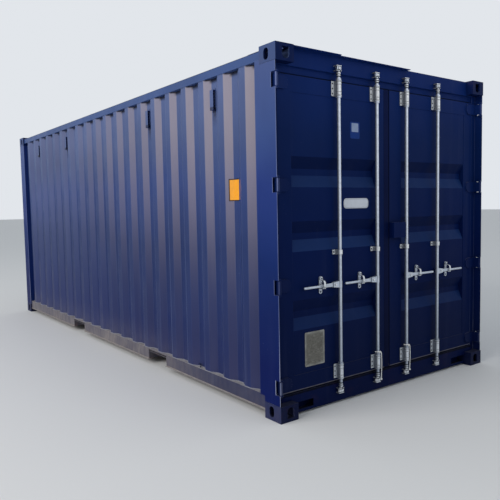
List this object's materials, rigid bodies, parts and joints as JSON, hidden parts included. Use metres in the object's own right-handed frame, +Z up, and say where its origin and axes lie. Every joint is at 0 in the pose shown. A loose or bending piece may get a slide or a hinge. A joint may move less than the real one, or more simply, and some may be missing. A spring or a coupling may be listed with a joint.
{
  "type": "shipping container",
  "caption": "Blue steel freight container with corrugated walls, ribbed roof, fork pockets and hinged end doors with galvanised lock rods and handles",
  "frame": {"origin": "middle of the footprint on the ground, under the bottom corner fittings", "axes": "+X along the length toward the door end, +Y across to the right-hand side for someone who faces the doors, +Z up"},
  "size_m": [6.058, 2.438, 2.591],
  "materials": {
    "blue_paint": "satin",
    "galvanised": "satin",
    "rubber_seal": "matte",
    "wood_floor": "matte",
    "rope": "matte"
  },
  "bodies": {
    "frame": {"bottom_corner_fittings": "blue_paint", "top_corner_fittings": "blue_paint", "door_post_left": "blue_paint", "door_post_right": "blue_paint", "front_post_left": "blue_paint", "front_post_right": "blue_paint", "door_header": "blue_paint", "door_sill": "blue_paint", "front_top_rail": "blue_paint", "front_bottom_rail": "blue_paint", "top_rail_left": "blue_paint", "top_rail_right": "blue_paint", "bottom_rail_left": "blue_paint", "bottom_rail_right": "blue_paint", "crossmembers": "blue_paint", "pocket_sides": "blue_paint", "pocket_tops": "blue_paint", "floor": "wood_floor", "side_wall_left": "blue_paint", "side_wall_right": "blue_paint", "front_wall": "blue_paint", "roof": "blue_paint", "cam_keepers": "galvanised", "hinge_lugs": "blue_paint", "vents": "blue_paint", "rope_hooks": "blue_paint"},
    "door_left": {"door_left_frame": "blue_paint", "door_left_panel": "blue_paint", "door_left_seal": "rubber_seal", "door_left_hinges": "blue_paint", "door_left_brackets": "galvanised", "door_left_retainers": "galvanised", "rope_left": "rope"},
    "door_right": {"door_right_frame": "blue_paint", "door_right_panel": "blue_paint", "door_right_seal": "rubber_seal", "door_right_hinges": "blue_paint", "door_right_brackets": "galvanised", "door_right_retainers": "galvanised", "lock_box": "blue_paint", "rope_right": "rope"},
    "rod_1": {"rod_1": "galvanised"},
    "rod_2": {"rod_2": "galvanised"},
    "rod_3": {"rod_3": "galvanised"},
    "rod_4": {"rod_4": "galvanised"},
    "handle_1": {"handle_1": "galvanised"},
    "handle_2": {"handle_2": "galvanised"},
    "handle_3": {"handle_3": "galvanised"},
    "handle_4": {"handle_4": "galvanised"},
    "catch_1": {"catch_1": "galvanised"},
    "catch_2": {"catch_2": "galvanised"},
    "catch_3": {"catch_3": "galvanised"},
    "catch_4": {"catch_4": "galvanised"}
  },
  "joints": [
    {"name": "door_left_hinge", "type": "hinge", "parent": "frame", "child": "door_left", "pos_m": [3.014, -1.204, 1.2975], "axis": [0, 0, -1], "range_deg": [0, 270]},
    {"name": "door_right_hinge", "type": "hinge", "parent": "frame", "child": "door_right", "pos_m": [3.014, 1.204, 1.2975], "axis": [0, 0, 1], "range_deg": [0, 270]},
    {"name": "rod_1_turn", "type": "hinge", "parent": "door_left", "child": "rod_1", "pos_m": [2.99, -0.595, 1.3], "axis": [0, 0, -1], "range_deg": [-100, 0]},
    {"name": "handle_1_lift", "type": "hinge", "parent": "rod_1", "child": "handle_1", "pos_m": [2.985, -0.647, 0.915], "axis": [-1, 0, 0], "range_deg": [0, 7.5]},
    {"name": "catch_1_swing", "type": "hinge", "parent": "door_left", "child": "catch_1", "pos_m": [2.962, -0.765, 0.97], "axis": [-1, 0, 0], "range_deg": [0, 100]},
    {"name": "rod_2_turn", "type": "hinge", "parent": "door_left", "child": "rod_2", "pos_m": [2.99, -0.179, 1.3], "axis": [0, 0, -1], "range_deg": [-100, 0]},
    {"name": "handle_2_lift", "type": "hinge", "parent": "rod_2", "child": "handle_2", "pos_m": [2.985, -0.231, 0.915], "axis": [-1, 0, 0], "range_deg": [0, 7.5]},
    {"name": "catch_2_swing", "type": "hinge", "parent": "door_left", "child": "catch_2", "pos_m": [2.962, -0.349, 0.97], "axis": [-1, 0, 0], "range_deg": [0, 100]},
    {"name": "rod_3_turn", "type": "hinge", "parent": "door_right", "child": "rod_3", "pos_m": [2.99, 0.179, 1.3], "axis": [0, 0, 1], "range_deg": [-100, 0]},
    {"name": "handle_3_lift", "type": "hinge", "parent": "rod_3", "child": "handle_3", "pos_m": [2.985, 0.231, 0.915], "axis": [1, 0, 0], "range_deg": [0, 7.5]},
    {"name": "catch_3_swing", "type": "hinge", "parent": "door_right", "child": "catch_3", "pos_m": [2.962, 0.349, 0.97], "axis": [1, 0, 0], "range_deg": [0, 100]},
    {"name": "rod_4_turn", "type": "hinge", "parent": "door_right", "child": "rod_4", "pos_m": [2.99, 0.595, 1.3], "axis": [0, 0, 1], "range_deg": [-100, 0]},
    {"name": "handle_4_lift", "type": "hinge", "parent": "rod_4", "child": "handle_4", "pos_m": [2.985, 0.647, 0.915], "axis": [1, 0, 0], "range_deg": [0, 7.5]},
    {"name": "catch_4_swing", "type": "hinge", "parent": "door_right", "child": "catch_4", "pos_m": [2.962, 0.765, 0.97], "axis": [1, 0, 0], "range_deg": [0, 100]}
  ]
}
